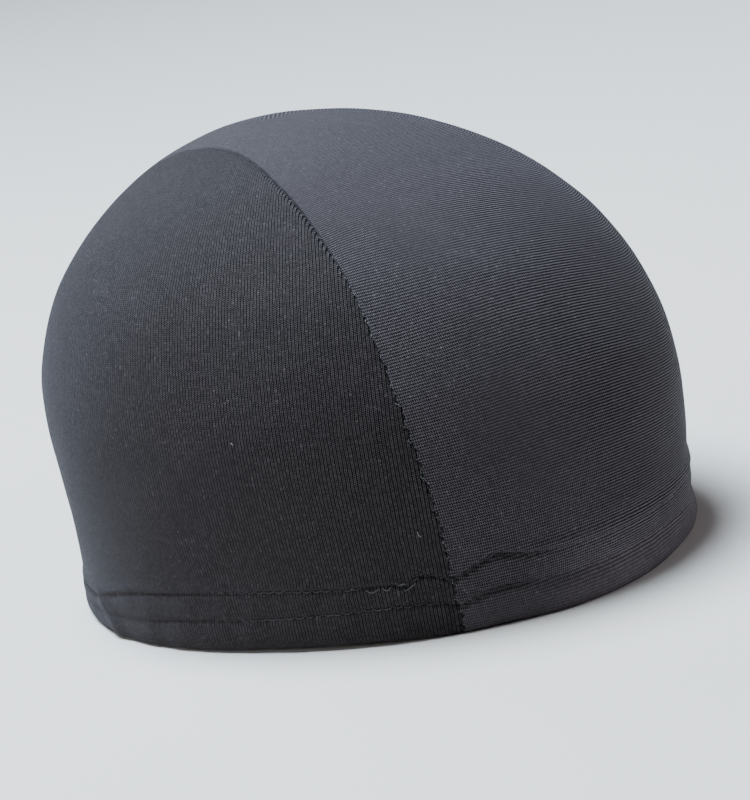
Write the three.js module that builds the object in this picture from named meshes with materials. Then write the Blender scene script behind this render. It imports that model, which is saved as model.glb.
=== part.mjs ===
// Cycling skull cap of thin stretch knit, sewn from three panels and hemmed round the rim.
// Millimetres, +Z up, the wearer looks along -Y. The cap stands on its rim in the plane z = 0,
// and the origin is in the middle of the cap's box.

import * as THREE from 'three';

// Driving dimensions
const KNIT = 1;                // thickness of one layer of knit
const HEM_HEIGHT = 19;         // height to which the rim is turned up inside
const HEM_EDGE = 0.4;          // height over which the turned-up edge ends
const SEAM_GAP = 0.3;          // clearance between two panels along their seam
const WIDEST_LINE = 11;        // y of the line across the head where the cap is widest
const ROUNDNESS = 2.15;        // exponent of a level section: 2 is an ellipse, more is squarer
const INNER_POINT = 45;        // height of a point well inside the head

// Level sections of the head form, the rim first and the crown last. The reaches are measured
// from the widest line. The wall follows these rows as a smooth cubic B-spline.
const SECTIONS = [
  { height: 0, front: 101, back: 83, side: 73 },
  { height: 8, front: 101.5, back: 82.5, side: 73.5 },
  { height: 17, front: 102.5, back: 81, side: 73.5 },
  { height: 30, front: 104.5, back: 80, side: 74.5 },
  { height: 50, front: 105.5, back: 81.5, side: 75.5 },
  { height: 70, front: 102, back: 82.5, side: 73.5 },
  { height: 90, front: 91.5, back: 74.5, side: 66 },
  { height: 100, front: 83.5, back: 67.5, side: 60 },
  { height: 115, front: 66, back: 52.5, side: 47.5 },
  { height: 128, front: 38.5, back: 30.5, side: 28 },
  { height: 134, front: 0, back: 0, side: 0 },
];

// Half the width of the centre panel. The angle goes over the head about the widest line,
// from 0 degrees at the front rim to 180 at the back rim.
const CENTRE_PANEL = [
  { angle: 0, half: 58.5 },
  { angle: 20, half: 60 },
  { angle: 40, half: 62 },
  { angle: 50, half: 60.6 },
  { angle: 60, half: 55.6 },
  { angle: 70, half: 46.8 },
  { angle: 80, half: 35 },
  { angle: 90, half: 21.4 },
  { angle: 100, half: 13.2 },
  { angle: 112, half: 10.5 },
  { angle: 130, half: 10.5 },
  { angle: 180, half: 14 },
];

// Mesh steps
const HEM_STEPS = 3;           // rows in the turned-up hem
const UPRIGHT_STEPS = 14;      // seam steps from the hem to a side panel's shoulder
const ARCH_STEPS = 26;         // seam steps over the head, between a side panel's shoulders
const CENTRE_COLUMNS = 14;     // columns across the centre panel
const FRONT_SHOULDER = 60;     // angle where a side panel's front edge turns into its top edge
const BACK_SHOULDER = 135;     // angle where its top edge turns into its back edge

const CROWN = SECTIONS.length - 1;
const SHELL_START = HEM_HEIGHT + HEM_EDGE;
const FAR = 250;                // farther than any point of the cap, for rays from inside it
const HALVINGS = 34;            // steps of a search by halving

const { degToRad, lerp } = THREE.MathUtils;

// The value between low and high where a test that starts true turns false
function boundary(low, high, test) {
  for (let step = 0; step < HALVINGS; step += 1) {
    const middle = (low + high) / 2;
    if (test(middle)) low = middle;
    else high = middle;
  }
  return (low + high) / 2;
}

function spread(from, to, steps) {
  return Array.from({ length: steps + 1 }, (_, step) => lerp(from, to, step / steps));
}

// Control row of the section spline. Below the rim it goes straight on, and past the crown it
// comes down on the far side, where every reach is negative.
function controlRow(index, column) {
  if (index < 0) return 2 * SECTIONS[0][column] - SECTIONS[1][column];
  if (index <= CROWN) return SECTIONS[index][column];
  const before = SECTIONS[CROWN - 1][column];
  return column === 'height' ? before : -before;
}

function splineValue(level, column) {
  const row = Math.min(Math.max(Math.floor(level), 0), CROWN - 1);
  const t = level - row;
  const weights = [
    (1 - t) ** 3,
    3 * t ** 3 - 6 * t ** 2 + 4,
    -3 * t ** 3 + 3 * t ** 2 + 3 * t + 1,
    t ** 3,
  ];
  return weights.reduce((sum, weight, i) => sum + weight * controlRow(row - 1 + i, column), 0) / 6;
}

const TOP = splineValue(CROWN, 'height');

// True where a point lies inside the outer face of the cap
function isInside(point) {
  if (point.z >= TOP) return false;
  const level = boundary(-1, CROWN, (value) => splineValue(value, 'height') < point.z);
  const depth = point.y - WIDEST_LINE;
  const side = splineValue(level, 'side');
  const reach = splineValue(level, depth < 0 ? 'front' : 'back');
  const across = Math.abs(point.x) / side;
  const along = Math.abs(depth) / reach;
  return across ** ROUNDNESS + along ** ROUNDNESS < 1;
}

// Where a ray from inside the head meets the outer face
function hit(start, direction) {
  const ray = new THREE.Ray(start, direction.clone().normalize());
  const point = new THREE.Vector3();
  const distance = boundary(0, FAR, (value) => isInside(ray.at(value, point)));
  return ray.at(distance, new THREE.Vector3());
}

const headMiddle = new THREE.Vector3(0, WIDEST_LINE, INNER_POINT);

// Outward normal of the face, from four neighbouring hits
function normalAt(point) {
  const out = point.clone().sub(headMiddle).normalize();
  const pole = Math.abs(out.z) < 0.9 ? new THREE.Vector3(0, 0, 1) : new THREE.Vector3(1, 0, 0);
  const first = new THREE.Vector3().crossVectors(pole, out).normalize();
  const second = new THREE.Vector3().crossVectors(out, first);
  const [alongFirst, alongSecond] = [first, second].map((axis) => {
    const ahead = hit(headMiddle, out.clone().addScaledVector(axis, 0.01));
    const behind = hit(headMiddle, out.clone().addScaledVector(axis, -0.01));
    return ahead.sub(behind);
  });
  return alongFirst.cross(alongSecond).normalize();
}

// Half width of the centre panel at an angle, on a smooth curve through its rows
function centreHalf(angle) {
  const last = CENTRE_PANEL.length - 1;
  const next = CENTRE_PANEL.findIndex((row) => row.angle >= angle);
  const i = Math.min(Math.max(next === -1 ? last : next, 1), last);
  const slope = (k) => {
    const a = CENTRE_PANEL[Math.max(k - 1, 0)];
    const b = CENTRE_PANEL[Math.min(k + 1, last)];
    return (b.half - a.half) / (b.angle - a.angle);
  };
  const [before, after] = [CENTRE_PANEL[i - 1], CENTRE_PANEL[i]];
  const run = after.angle - before.angle;
  const t = (angle - before.angle) / run;
  const ease = t * t * (3 - 2 * t);
  const bend = run * t * (1 - t) * (slope(i - 1) * (1 - t) - slope(i) * t);
  return lerp(before.half, after.half, ease) + bend;
}

// Point of the face at a distance across the head and an angle over it
function overHead(x, angle) {
  const turn = degToRad(angle);
  return hit(
    new THREE.Vector3(x, WIDEST_LINE, 0),
    new THREE.Vector3(0, -Math.cos(turn), Math.sin(turn)),
  );
}

// Change in half width that moves a panel's edge square to the seam by half the seam gap
function seamAllowance(angle) {
  const half = centreHalf(angle);
  const across = overHead(half + 1, angle).sub(overHead(half, angle));
  const along = overHead(centreHalf(angle + 1), angle + 1).sub(overHead(half, angle)).normalize();
  return SEAM_GAP / 2 / across.cross(along).length();
}

// Half width at the edge of the centre panel, and at the edge of a side panel
function centreEdge(angle) {
  return centreHalf(angle) - seamAllowance(angle);
}

function sideEdge(angle) {
  return centreHalf(angle) + seamAllowance(angle);
}

// Point on the edge of the wearer's right side panel
function sideSeamPoint(angle) {
  return overHead(-sideEdge(angle), angle);
}

function seamAngleAtHeight(height, isFront) {
  const isBelow = (fromRim) => {
    const angle = isFront ? fromRim : 180 - fromRim;
    return overHead(centreHalf(angle), angle).z < height;
  };
  const fromRim = boundary(0, 80, isBelow);
  return isFront ? fromRim : 180 - fromRim;
}

const hemHeights = [...spread(0, HEM_HEIGHT, HEM_STEPS), SHELL_START];
const frontHem = hemHeights.map((height) => seamAngleAtHeight(height, true));
const backHem = hemHeights.map((height) => seamAngleAtHeight(height, false));
const frontStart = frontHem.at(-1);
const backStart = backHem.at(-1);

const frontUpright = spread(frontStart, FRONT_SHOULDER, UPRIGHT_STEPS);
const backUpright = spread(backStart, BACK_SHOULDER, UPRIGHT_STEPS);
const arch = spread(FRONT_SHOULDER, BACK_SHOULDER, ARCH_STEPS);

// A level row of points from one bearing to another, 0 at the front and positive towards +X
function levelRow(height, from, to, steps) {
  return spread(from, to, steps).map((bearing) => hit(
    new THREE.Vector3(0, WIDEST_LINE, height),
    new THREE.Vector3(Math.sin(bearing), -Math.cos(bearing), 0),
  ));
}

function bearingOf(point) {
  return Math.atan2(point.x, WIDEST_LINE - point.y);
}

// Side panel grid: rows go up from the rim, columns go from the front seam to the back seam
function sideGrid() {
  const rows = hemHeights.map((height, i) => levelRow(
    height,
    bearingOf(sideSeamPoint(frontHem[i])),
    bearingOf(sideSeamPoint(backHem[i])),
    ARCH_STEPS,
  ));
  const bottom = rows.at(-1);
  const top = arch.map(sideSeamPoint);
  const front = frontUpright.map(sideSeamPoint);
  const back = backUpright.map(sideSeamPoint);
  for (let i = 1; i < UPRIGHT_STEPS; i += 1) {
    const up = i / UPRIGHT_STEPS;
    rows.push(bottom.map((low, j) => {
      const along = j / ARCH_STEPS;
      if (j === 0) return front[i];
      if (j === ARCH_STEPS) return back[i];
      const point = low.clone().lerp(top[j], up);
      point.add(front[i].clone().lerp(back[i], along));
      const frontCorners = front[0].clone().lerp(front.at(-1), up);
      const backCorners = back[0].clone().lerp(back.at(-1), up);
      point.sub(frontCorners.lerp(backCorners, along));
      return hit(headMiddle, point.sub(headMiddle));
    }));
  }
  rows.push(top);
  return rows;
}

// Centre panel grid: rows go over the head from front to back, columns from +X to -X
function centreGrid() {
  const shares = spread(1, -1, CENTRE_COLUMNS);
  const hemRow = (height, angle, facing) => shares.map((share) => hit(
    new THREE.Vector3(share * centreEdge(angle), WIDEST_LINE, height),
    new THREE.Vector3(0, facing, 0),
  ));
  const frontRows = hemHeights.map((height, i) => hemRow(height, frontHem[i], -1));
  const backRows = hemHeights.map((height, i) => hemRow(height, backHem[i], 1));
  const angleOf = (point) => THREE.MathUtils.radToDeg(Math.atan2(point.z, WIDEST_LINE - point.y));
  const frontAngles = frontRows.at(-1).map(angleOf);
  const backAngles = backRows.at(-1).map(angleOf);
  const overRow = (angle) => shares.map((share, j) => {
    const isFront = angle < 90;
    const edge = isFront ? frontAngles[j] : backAngles[j];
    const seamEdge = isFront ? frontStart : backStart;
    const progress = (angle - seamEdge) / (90 - seamEdge);
    return overHead(share * centreEdge(angle), lerp(edge, 90, progress));
  });
  const between = [...frontUpright.slice(1), ...arch.slice(1), ...backUpright.slice(1, -1).reverse()];
  return [...frontRows, ...between.map(overRow), ...backRows.reverse()];
}

// Thickness at a height: two layers in the hem, one above it
function thicknessAt(height) {
  return height < HEM_HEIGHT + HEM_EDGE / 2 ? 2 * KNIT : KNIT;
}

function innerPoint(point) {
  const normal = normalAt(point);
  if (point.z < HEM_EDGE) normal.setZ(0).normalize();
  return point.clone().addScaledVector(normal, -thicknessAt(point.z));
}

// Closed solid of a sheet whose outer face is the grid, rows by columns turning outwards
function sheetSolid(outer) {
  const inner = outer.map((row) => row.map(innerPoint));
  const [rows, columns] = [outer.length, outer[0].length];
  const points = [...outer.flat(), ...inner.flat()];
  const outside = (i, j) => i * columns + j;
  const inside = (i, j) => rows * columns + outside(i, j);
  const index = [];
  const quad = (a, b, c, d) => index.push(a, b, c, a, c, d);
  for (let i = 0; i + 1 < rows; i += 1) {
    for (let j = 0; j + 1 < columns; j += 1) {
      quad(outside(i, j), outside(i + 1, j), outside(i + 1, j + 1), outside(i, j + 1));
      quad(inside(i, j), inside(i, j + 1), inside(i + 1, j + 1), inside(i + 1, j));
    }
  }
  for (let i = 0; i + 1 < rows; i += 1) {
    const end = columns - 1;
    quad(outside(i, 0), inside(i, 0), inside(i + 1, 0), outside(i + 1, 0));
    quad(outside(i, end), outside(i + 1, end), inside(i + 1, end), inside(i, end));
  }
  for (let j = 0; j + 1 < columns; j += 1) {
    const end = rows - 1;
    quad(outside(0, j), outside(0, j + 1), inside(0, j + 1), inside(0, j));
    quad(outside(end, j), inside(end, j), inside(end, j + 1), outside(end, j + 1));
  }
  const geometry = new THREE.BufferGeometry().setFromPoints(points);
  geometry.setIndex(index);
  geometry.computeVertexNormals();
  return geometry;
}

function mirrored(grid) {
  return grid.map((row) => row.map((point) => new THREE.Vector3(-point.x, point.y, point.z)).reverse());
}

function knitPanel(name, grid) {
  const material = new THREE.MeshStandardMaterial({ color: 0x26272c, roughness: 0.85, metalness: 0 });
  const panel = new THREE.Mesh(sheetSolid(grid), material);
  panel.name = name;
  return panel;
}

const rightSide = sideGrid();
const cap = new THREE.Group();
cap.add(
  knitPanel('centre_panel', centreGrid()),
  knitPanel('right_side_panel', rightSide),
  knitPanel('left_side_panel', mirrored(rightSide)),
);

export default cap;
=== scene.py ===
# Looks of the cycling skull cap: stretch knit panels, their sewn seams, the stitched hem and the light.
# Shapes are worked out in millimetres, as in the part's source, and become metres in each mesh.

import math

import bpy
import numpy as np
from mathutils import Matrix, Vector
from mathutils.kdtree import KDTree


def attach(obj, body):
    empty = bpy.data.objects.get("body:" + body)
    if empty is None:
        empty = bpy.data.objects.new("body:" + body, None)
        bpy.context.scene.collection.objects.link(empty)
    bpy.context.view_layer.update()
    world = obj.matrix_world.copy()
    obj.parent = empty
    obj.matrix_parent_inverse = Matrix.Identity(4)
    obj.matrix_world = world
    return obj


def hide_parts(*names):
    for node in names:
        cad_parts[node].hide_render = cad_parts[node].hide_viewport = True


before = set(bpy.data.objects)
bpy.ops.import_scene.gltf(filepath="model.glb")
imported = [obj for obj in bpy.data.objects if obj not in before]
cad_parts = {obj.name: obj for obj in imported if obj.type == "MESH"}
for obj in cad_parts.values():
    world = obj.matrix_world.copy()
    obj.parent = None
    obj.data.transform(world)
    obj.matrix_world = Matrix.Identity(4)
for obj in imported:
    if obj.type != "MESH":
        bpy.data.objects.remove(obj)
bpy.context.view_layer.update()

MM = 0.001

# Camera
VIEW_AZIMUTH = -57.25       # degrees round the cap, 0 in front of it and negative to its right
VIEW_ELEVATION = 15.5       # degrees above the rim's plane
VIEW_ROLL = 12.2            # degrees that the camera leans
VIEW_DISTANCE = 0.9
VIEW_LENS = 140.1
VIEW_TARGET = Vector((0, 0.011, 0.06))
VIEW_SIDESTEP = 0.01567     # the picture's middle lies this far right of the target
VIEW_DROP = 0.01179         # and this far below it


def make_camera():
    azimuth = math.radians(VIEW_AZIMUTH)
    elevation = math.radians(VIEW_ELEVATION)
    roll = math.radians(VIEW_ROLL)
    back = Vector((
        math.sin(azimuth) * math.cos(elevation),
        -math.cos(azimuth) * math.cos(elevation),
        math.sin(elevation),
    ))
    level = Vector((0, 0, 1)).cross(back).normalized()
    upright = back.cross(level)
    right = level * math.cos(roll) - upright * math.sin(roll)
    up = level * math.sin(roll) + upright * math.cos(roll)
    place = VIEW_TARGET + back * VIEW_DISTANCE
    back = (place - (VIEW_TARGET + right * VIEW_SIDESTEP - up * VIEW_DROP)).normalized()
    right = up.cross(back).normalized()
    up = back.cross(right)
    lens = bpy.data.cameras.new("camera")
    lens.lens = VIEW_LENS
    lens.sensor_width = 36
    lens.clip_start = 0.01
    lens.clip_end = 50
    camera = bpy.data.objects.new("camera", lens)
    camera.matrix_world = Matrix.Translation(place) @ Matrix((right, up, back)).transposed().to_4x4()
    bpy.context.scene.collection.objects.link(camera)
    bpy.context.scene.camera = camera


make_camera()

# Head form, the same as in the part's source
WIDEST_LINE = 11.0          # how far behind the middle the head is widest
ROUNDNESS = 2.15            # power of its rounded level sections
INNER_POINT = 45.0          # height inside it from which the side panels are cast onto its face
FRONT_SHOULDER = 60.0       # angles over the head between which a side panel's top row runs
BACK_SHOULDER = 135.0
BROW_HEIGHT = 50.0

# Columns: height, then the reach from the widest line to the front, to the back and to the side
SECTIONS = np.array([
    (0, 101, 83, 73),
    (8, 101.5, 82.5, 73.5),
    (17, 102.5, 81, 73.5),
    (30, 104.5, 80, 74.5),
    (50, 105.5, 81.5, 75.5),
    (70, 102, 82.5, 73.5),
    (90, 91.5, 74.5, 66),
    (100, 83.5, 67.5, 60),
    (115, 66, 52.5, 47.5),
    (128, 38.5, 30.5, 28),
    (134, 0, 0, 0),
], float)

# Columns: angle over the head, from the front rim to the back rim, and half the centre panel's width
CENTRE_PANEL = np.array([
    (0, 58.5),
    (20, 60),
    (40, 62),
    (50, 60.6),
    (60, 55.6),
    (70, 46.8),
    (80, 35),
    (90, 21.4),
    (100, 13.2),
    (112, 10.5),
    (130, 10.5),
    (180, 14),
], float)

# How the seams stray from their line in front. Columns: distance, rate in radians a degree, start
SEAM_WAVES = (
    (0.15, 3.4, 0),
    (0.13, 2.1, 1),
    (0.12, 0.9, 0),
)
STRAY_END = (50, 60)        # angles over the head between which this fades out

# Hem stitching. Columns: bearing round the head, 0 at the front and negative on the wearer's right,
# then the heights of the upper and of the lower line of stitches
HEM_LINES = np.array([
    (-180, 11.5, 6.6),
    (-160, 10.2, 5.9),
    (-141, 9.8, 5.7),
    (-131, 11.3, 6.3),
    (-117, 15.6, 7.6),
    (-101, 17.5, 9.4),
    (-81, 18.3, 10.1),
    (-61, 17.4, 10.8),
    (-53, 17.2, 10.9),
    (-51.2, 16.1, 10.5),
    (-49, 18.3, 10.7),
    (-46.3, 18.4, 10.2),
    (-43.8, 16.7, 9.6),
    (-42.3, 16.2, 8.2),
    (-40.3, 17.4, 9.1),
    (-38, 19.3, 10.5),
    (-35.5, 20.5, 10.9),
    (-32.5, 19.6, 10.9),
    (-29.5, 18.4, 10.4),
    (-25, 17.7, 9.6),
    (-12, 15.9, 8.6),
    (4, 15.7, 8.1),
    (30, 17.0, 9.3),
    (60, 17.4, 9.8),
    (90, 17.8, 10.0),
    (120, 15.9, 8.9),
    (150, 12.4, 7.0),
    (180, 11.5, 6.6),
], float)

# The hem's folded edge. Columns: bearing round the head, how far it lifts off the ground, its flare
RIM = np.array([
    (-180, 0.3, 0),
    (-140, 0.1, 0),
    (-122, 0, 0),
    (-105, 0.15, 0),
    (-95, 0.3, 0),
    (-85, 0.7, 0),
    (-75, 1.0, 0),
    (-60, 0.9, 0),
    (-50, 0.45, 0),
    (-42, 0.15, 0),
    (-35, 0.45, 0.3),
    (-30, 0.2, 1.0),
    (-24, 0, 1.9),
    (-10, 0, 2.0),
    (0, 0.3, 1.4),
    (8, 0.1, 1.1),
    (16, 0.05, 1.0),
    (32, 0.3, 0.3),
    (42, 0.3, 0),
    (60, 0.8, 0),
    (85, 0.5, 0),
    (110, 0.1, 0),
    (140, 0, 0),
    (180, 0.3, 0),
], float)

LIFT_REACH = 9.0            # heights up to which the lift and the flare reach
FLARE_REACH = 9.5

HEM_TOP = 19.0              # height of the turned-up edge inside
LAYER = 1.0                 # thickness of one layer of knit
STITCH_PITCH = 2.9
UPPER_SHIFT = 0.0           # where the needle holes of each line start, along the hem
LOWER_SHIFT = 1.1
ALLOWANCE = 1.5             # how far the seam allowances stand out inside, and how wide they are
ALLOWANCE_WIDTH = 1.3
INNER_RELIEF = 0.2          # the inner side follows the outer one's relief up to this

# Grids of the panels. Columns: length, steps at the ends and in the middle, reach of the finer ends
SIDE_COLUMNS = (150, 0.16, 0.68, 7)
SIDE_ROWS = (114, 0.16, 0.68, 7)
CENTRE_COLUMNS = (150, 0.16, 1.06, 8)
FRONT_ROWS = (178, 0.74, 0.74, 1)
BACK_ROWS = (190, 1.5, 1.5, 1)
FOLD_HEIGHTS = (0, 0.05, 0.2, 0.5, 0.95)
HEM_HEIGHTS = (1.4, 22.9, 0.44)     # first row above the fold, limit and step
SEAM_STEP = 0.12            # between the points of a seam's line

CROWN = len(SECTIONS) - 1
WIDEST_SECTION = SECTIONS[4]


def section_rows():
    """The table of sections with one more row at each end, for the curve's ends."""
    below = 2 * SECTIONS[0] - SECTIONS[1]
    beyond = SECTIONS[CROWN - 1] * (1, -1, -1, -1)
    return np.vstack([below, SECTIONS, beyond])


def section_at(levels):
    """Sections at rows and fractions of rows of the table, on a smooth curve that rounds its corners."""
    rows = section_rows()
    row = np.clip(np.floor(levels).astype(int), 0, CROWN - 1)
    t = (levels - row)[:, None]
    weights = (
        (1 - t) ** 3,
        3 * t ** 3 - 6 * t ** 2 + 4,
        -3 * t ** 3 + 3 * t ** 2 + 3 * t + 1,
        t ** 3,
    )
    return sum(weight * rows[row + i] for i, weight in enumerate(weights)) / 6


LEVELS = np.linspace(-0.5, CROWN, 16001)
PROFILE = section_at(LEVELS)
PROFILE_SLOPE = np.gradient(PROFILE, LEVELS, axis=0)
TOP = PROFILE[-1, 0]


def level_of(height):
    """Row of the table, with its fraction, at a height."""
    return np.interp(height, PROFILE[:, 0], LEVELS)


def reach_of(level, table, y):
    """A table's values for the front of the head, or for the back where y lies behind the widest line."""
    front = np.interp(level, LEVELS, table[:, 1])
    back = np.interp(level, LEVELS, table[:, 2])
    return np.where(y < WIDEST_LINE, front, back)


def is_inside(points):
    """Whether points lie in the head form."""
    x, y, z = points[..., 0], points[..., 1], points[..., 2]
    level = level_of(z)
    side = np.maximum(np.interp(level, LEVELS, PROFILE[:, 3]), 1e-6)
    reach = np.maximum(reach_of(level, PROFILE, y), 1e-6)
    share = (np.abs(x) / side) ** ROUNDNESS + (np.abs(y - WIDEST_LINE) / reach) ** ROUNDNESS
    return (share < 1) & (z < TOP)


def face_hit(start, direction):
    """Where rays from inside the head meet the outer face."""
    start, direction = np.broadcast_arrays(np.asarray(start, float), np.asarray(direction, float))
    direction = direction / np.linalg.norm(direction, axis=-1, keepdims=True)
    low = np.zeros(start.shape[:-1])
    high = np.full(start.shape[:-1], 250.0)
    for _ in range(32):
        middle = (low + high) / 2
        inside = is_inside(start + direction * middle[..., None])
        low = np.where(inside, middle, low)
        high = np.where(inside, high, middle)
    return start + direction * ((low + high) / 2)[..., None]


def face_normal(points):
    """Outward direction of the head form at points on its face."""
    x, y, z = points[..., 0], points[..., 1] - WIDEST_LINE, points[..., 2]
    level = np.minimum(level_of(z), CROWN - 1e-3)
    side = np.maximum(np.interp(level, LEVELS, PROFILE[:, 3]), 1e-3)
    reach = np.maximum(reach_of(level, PROFILE, points[..., 1]), 1e-3)
    climb = np.interp(level, LEVELS, PROFILE_SLOPE[:, 0])
    side_slope = np.interp(level, LEVELS, PROFILE_SLOPE[:, 3])
    reach_slope = reach_of(level, PROFILE_SLOPE, points[..., 1])
    across, along = np.abs(x) / side, np.abs(y) / reach
    normal = np.stack([
        np.sign(x) * across ** (ROUNDNESS - 1) / side * climb,
        np.sign(y) * along ** (ROUNDNESS - 1) / reach * climb,
        -(across ** ROUNDNESS * side_slope / side + along ** ROUNDNESS * reach_slope / reach),
    ], -1)
    return normal / np.linalg.norm(normal, axis=-1, keepdims=True)


def smooth_table(table, at):
    """Values of a table's other columns at points of its first, on a smooth curve through its rows."""
    keys, values = table[:, 0], table[:, 1:]
    slopes = np.empty_like(values)
    slopes[1:-1] = (values[2:] - values[:-2]) / (keys[2:] - keys[:-2])[:, None]
    slopes[0] = (values[1] - values[0]) / (keys[1] - keys[0])
    slopes[-1] = (values[-1] - values[-2]) / (keys[-1] - keys[-2])
    at = np.asarray(at, float)
    i = np.clip(np.searchsorted(keys, at) - 1, 0, len(keys) - 2)
    run = (keys[i + 1] - keys[i])[..., None]
    t = (at - keys[i])[..., None] / run
    ease = t * t * (3 - 2 * t)
    bend = run * t * (1 - t) * (slopes[i] * (1 - t) - slopes[i + 1] * t)
    return values[i] * (1 - ease) + values[i + 1] * ease + bend


def seam_wobble(angle):
    """How far the seams stray from their line in front, where they were sewn a little unevenly."""
    wobble = sum(distance * np.sin(rate * angle + start) for distance, rate, start in SEAM_WAVES)
    return wobble * (1 - ease_between(*STRAY_END, angle))


def centre_half(angle):
    """Half the centre panel's width at an angle over the head."""
    angle = np.asarray(angle, float)
    return smooth_table(CENTRE_PANEL, angle)[..., 0] + seam_wobble(angle)


def over_head(x, angle):
    """Point of the face at a distance across the head and an angle over it."""
    turn = np.radians(angle)
    x, turn = np.broadcast_arrays(x, turn)
    start = np.stack([x, np.full(x.shape, WIDEST_LINE), np.zeros(x.shape)], -1)
    return face_hit(start, np.stack([0 * x, -np.cos(turn), np.sin(turn)], -1))


def seam_angle(heights, is_front):
    """Angles over the head where the seam is at these heights."""
    low, high = np.zeros(len(heights)), np.full(len(heights), 80.0)
    for _ in range(32):
        middle = (low + high) / 2
        angle = middle if is_front else 180 - middle
        below = over_head(centre_half(angle), angle)[..., 2] < heights
        low = np.where(below, middle, low)
        high = np.where(below, high, middle)
    return low if is_front else 180 - low


def bearing_of(points):
    """Angle round the head, 0 in front and negative on the wearer's right."""
    return np.arctan2(points[..., 0], WIDEST_LINE - points[..., 1])


def angle_over(points):
    """Degrees over the head, 0 at the front and 180 at the back."""
    return np.degrees(np.arctan2(points[..., 2], WIDEST_LINE - points[..., 1]))


def run_along(points):
    """Length of a line of points up to each of them."""
    return np.concatenate([[0], np.cumsum(np.linalg.norm(np.diff(points, axis=0), axis=1))])


def spaced(points, run, at):
    """Points of a line at these lengths along it."""
    return np.stack([np.interp(at, run, points[:, i]) for i in range(3)], -1)


def ring_round(bearings, heights):
    """Points of the face at these bearings and heights."""
    bearings, heights = np.broadcast_arrays(bearings, heights)
    start = np.zeros(bearings.shape + (3,))
    start[..., 1] = WIDEST_LINE
    start[..., 2] = heights
    return face_hit(start, np.stack([np.sin(bearings), -np.cos(bearings), 0 * bearings], -1))


def graded(length, near, far, reach, ends=(True, True)):
    """Fractions from 0 to 1, an even number of steps, closer together within reach of the ends."""
    s = np.linspace(0, length, 2001)
    apart = np.full(s.shape, np.inf)
    if ends[0]:
        apart = np.minimum(apart, s)
    if ends[1]:
        apart = np.minimum(apart, length - s)
    step = near + (far - near) * ease_between(0, reach, apart)
    count = np.concatenate([[0], np.cumsum((1 / step)[:-1] * np.diff(s))])
    steps = 2 * math.ceil(count[-1] / 2)
    return np.interp(np.arange(steps + 1) / steps * count[-1], count, s) / length


HEM_ROWS = np.concatenate([FOLD_HEIGHTS, np.arange(*HEM_HEIGHTS)])


def side_face():
    """Grid of the wearer's right side panel on the head form: rows go up, columns front to back."""
    columns = graded(*SIDE_COLUMNS)
    climb = graded(*SIDE_ROWS, (False, True))
    if (len(HEM_ROWS) + len(climb)) % 2:
        heights = HEM_ROWS[:-1]
    else:
        heights = HEM_ROWS
    front_hem = seam_angle(heights, True)
    back_hem = seam_angle(heights, False)
    first = bearing_of(over_head(-centre_half(front_hem), front_hem))
    last = bearing_of(over_head(-centre_half(back_hem), back_hem))
    hem = ring_round(first[:, None] + (last - first)[:, None] * columns, heights[:, None])
    arch = FRONT_SHOULDER + (BACK_SHOULDER - FRONT_SHOULDER) * columns
    top = over_head(-centre_half(arch), arch)
    front_angle = front_hem[-1] + (FRONT_SHOULDER - front_hem[-1]) * climb
    back_angle = back_hem[-1] + (BACK_SHOULDER - back_hem[-1]) * climb
    front = over_head(-centre_half(front_angle), front_angle)
    back = over_head(-centre_half(back_angle), back_angle)
    up, along = climb[:, None, None], columns[None, :, None]
    bottom = hem[-1]
    corners = (front[0] * (1 - up) + front[-1] * up) * (1 - along)
    corners = corners + (back[0] * (1 - up) + back[-1] * up) * along
    body = bottom * (1 - up) + top * up + front[:, None] * (1 - along) + back[:, None] * along - corners
    middle = np.array([0, WIDEST_LINE, INNER_POINT])
    body = face_hit(middle, body - middle)
    return np.concatenate([hem, body[1:]])


def centre_face():
    """Grid of the centre panel on the head form: rows go over the head, columns from +X to -X."""
    shares = 1 - 2 * graded(*CENTRE_COLUMNS)
    over = np.concatenate([graded(*FRONT_ROWS)[:-1] * 0.5, 0.5 + graded(*BACK_ROWS) * 0.5])
    front_hem = seam_angle(HEM_ROWS, True)
    back_hem = seam_angle(HEM_ROWS, False)

    def hem_rows(angles, facing):
        start = np.zeros((len(angles), len(shares), 3))
        start[..., 0] = shares * centre_half(angles)[:, None]
        start[..., 1] = WIDEST_LINE
        start[..., 2] = HEM_ROWS[:, None]
        return face_hit(start, np.array([0, facing, 0]))

    front_rows = hem_rows(front_hem, -1)
    back_rows = hem_rows(back_hem, 1)
    front_edge, back_edge = angle_over(front_rows[-1]), angle_over(back_rows[-1])
    before = over < 0.5
    seam_at = np.where(before, front_hem[-1], back_hem[-1])
    progress = np.where(before, over, 1 - over) * 2
    angle = seam_at + (90 - seam_at) * progress
    edge = np.where(before[:, None], front_edge, back_edge)
    turned = edge + (90 - edge) * progress[:, None]
    body = over_head(shares * centre_half(angle)[:, None], turned)
    return np.concatenate([front_rows, body[1:-1], back_rows[::-1]])


def ripples(points, wavelength, seed, waves=9):
    """Smooth unevenness from about -1 to 1, the same in every run."""
    pick = np.random.default_rng(seed)
    total = np.zeros(points.shape[:-1])
    for _ in range(waves):
        direction = pick.normal(size=3)
        direction *= 2 * math.pi / (wavelength * pick.uniform(0.75, 1.4) * np.linalg.norm(direction))
        total += np.sin(points @ direction + pick.uniform(0, 2 * math.pi))
    return total / math.sqrt(waves)


def hump(distance, width):
    """A rounded hill, 1 high in its middle."""
    return np.exp(-(distance / width) ** 2)


def bulge(share):
    """A swell between 0 and 1, flat outside them."""
    return np.clip(np.sin(math.pi * np.clip(share, 0, 1)), 0, 1)


def ease_between(low, high, value):
    """A smooth rise from 0 at the low value to 1 at the high one."""
    t = np.clip((value - low) / (high - low), 0, 1)
    return t * t * (3 - 2 * t)


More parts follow.
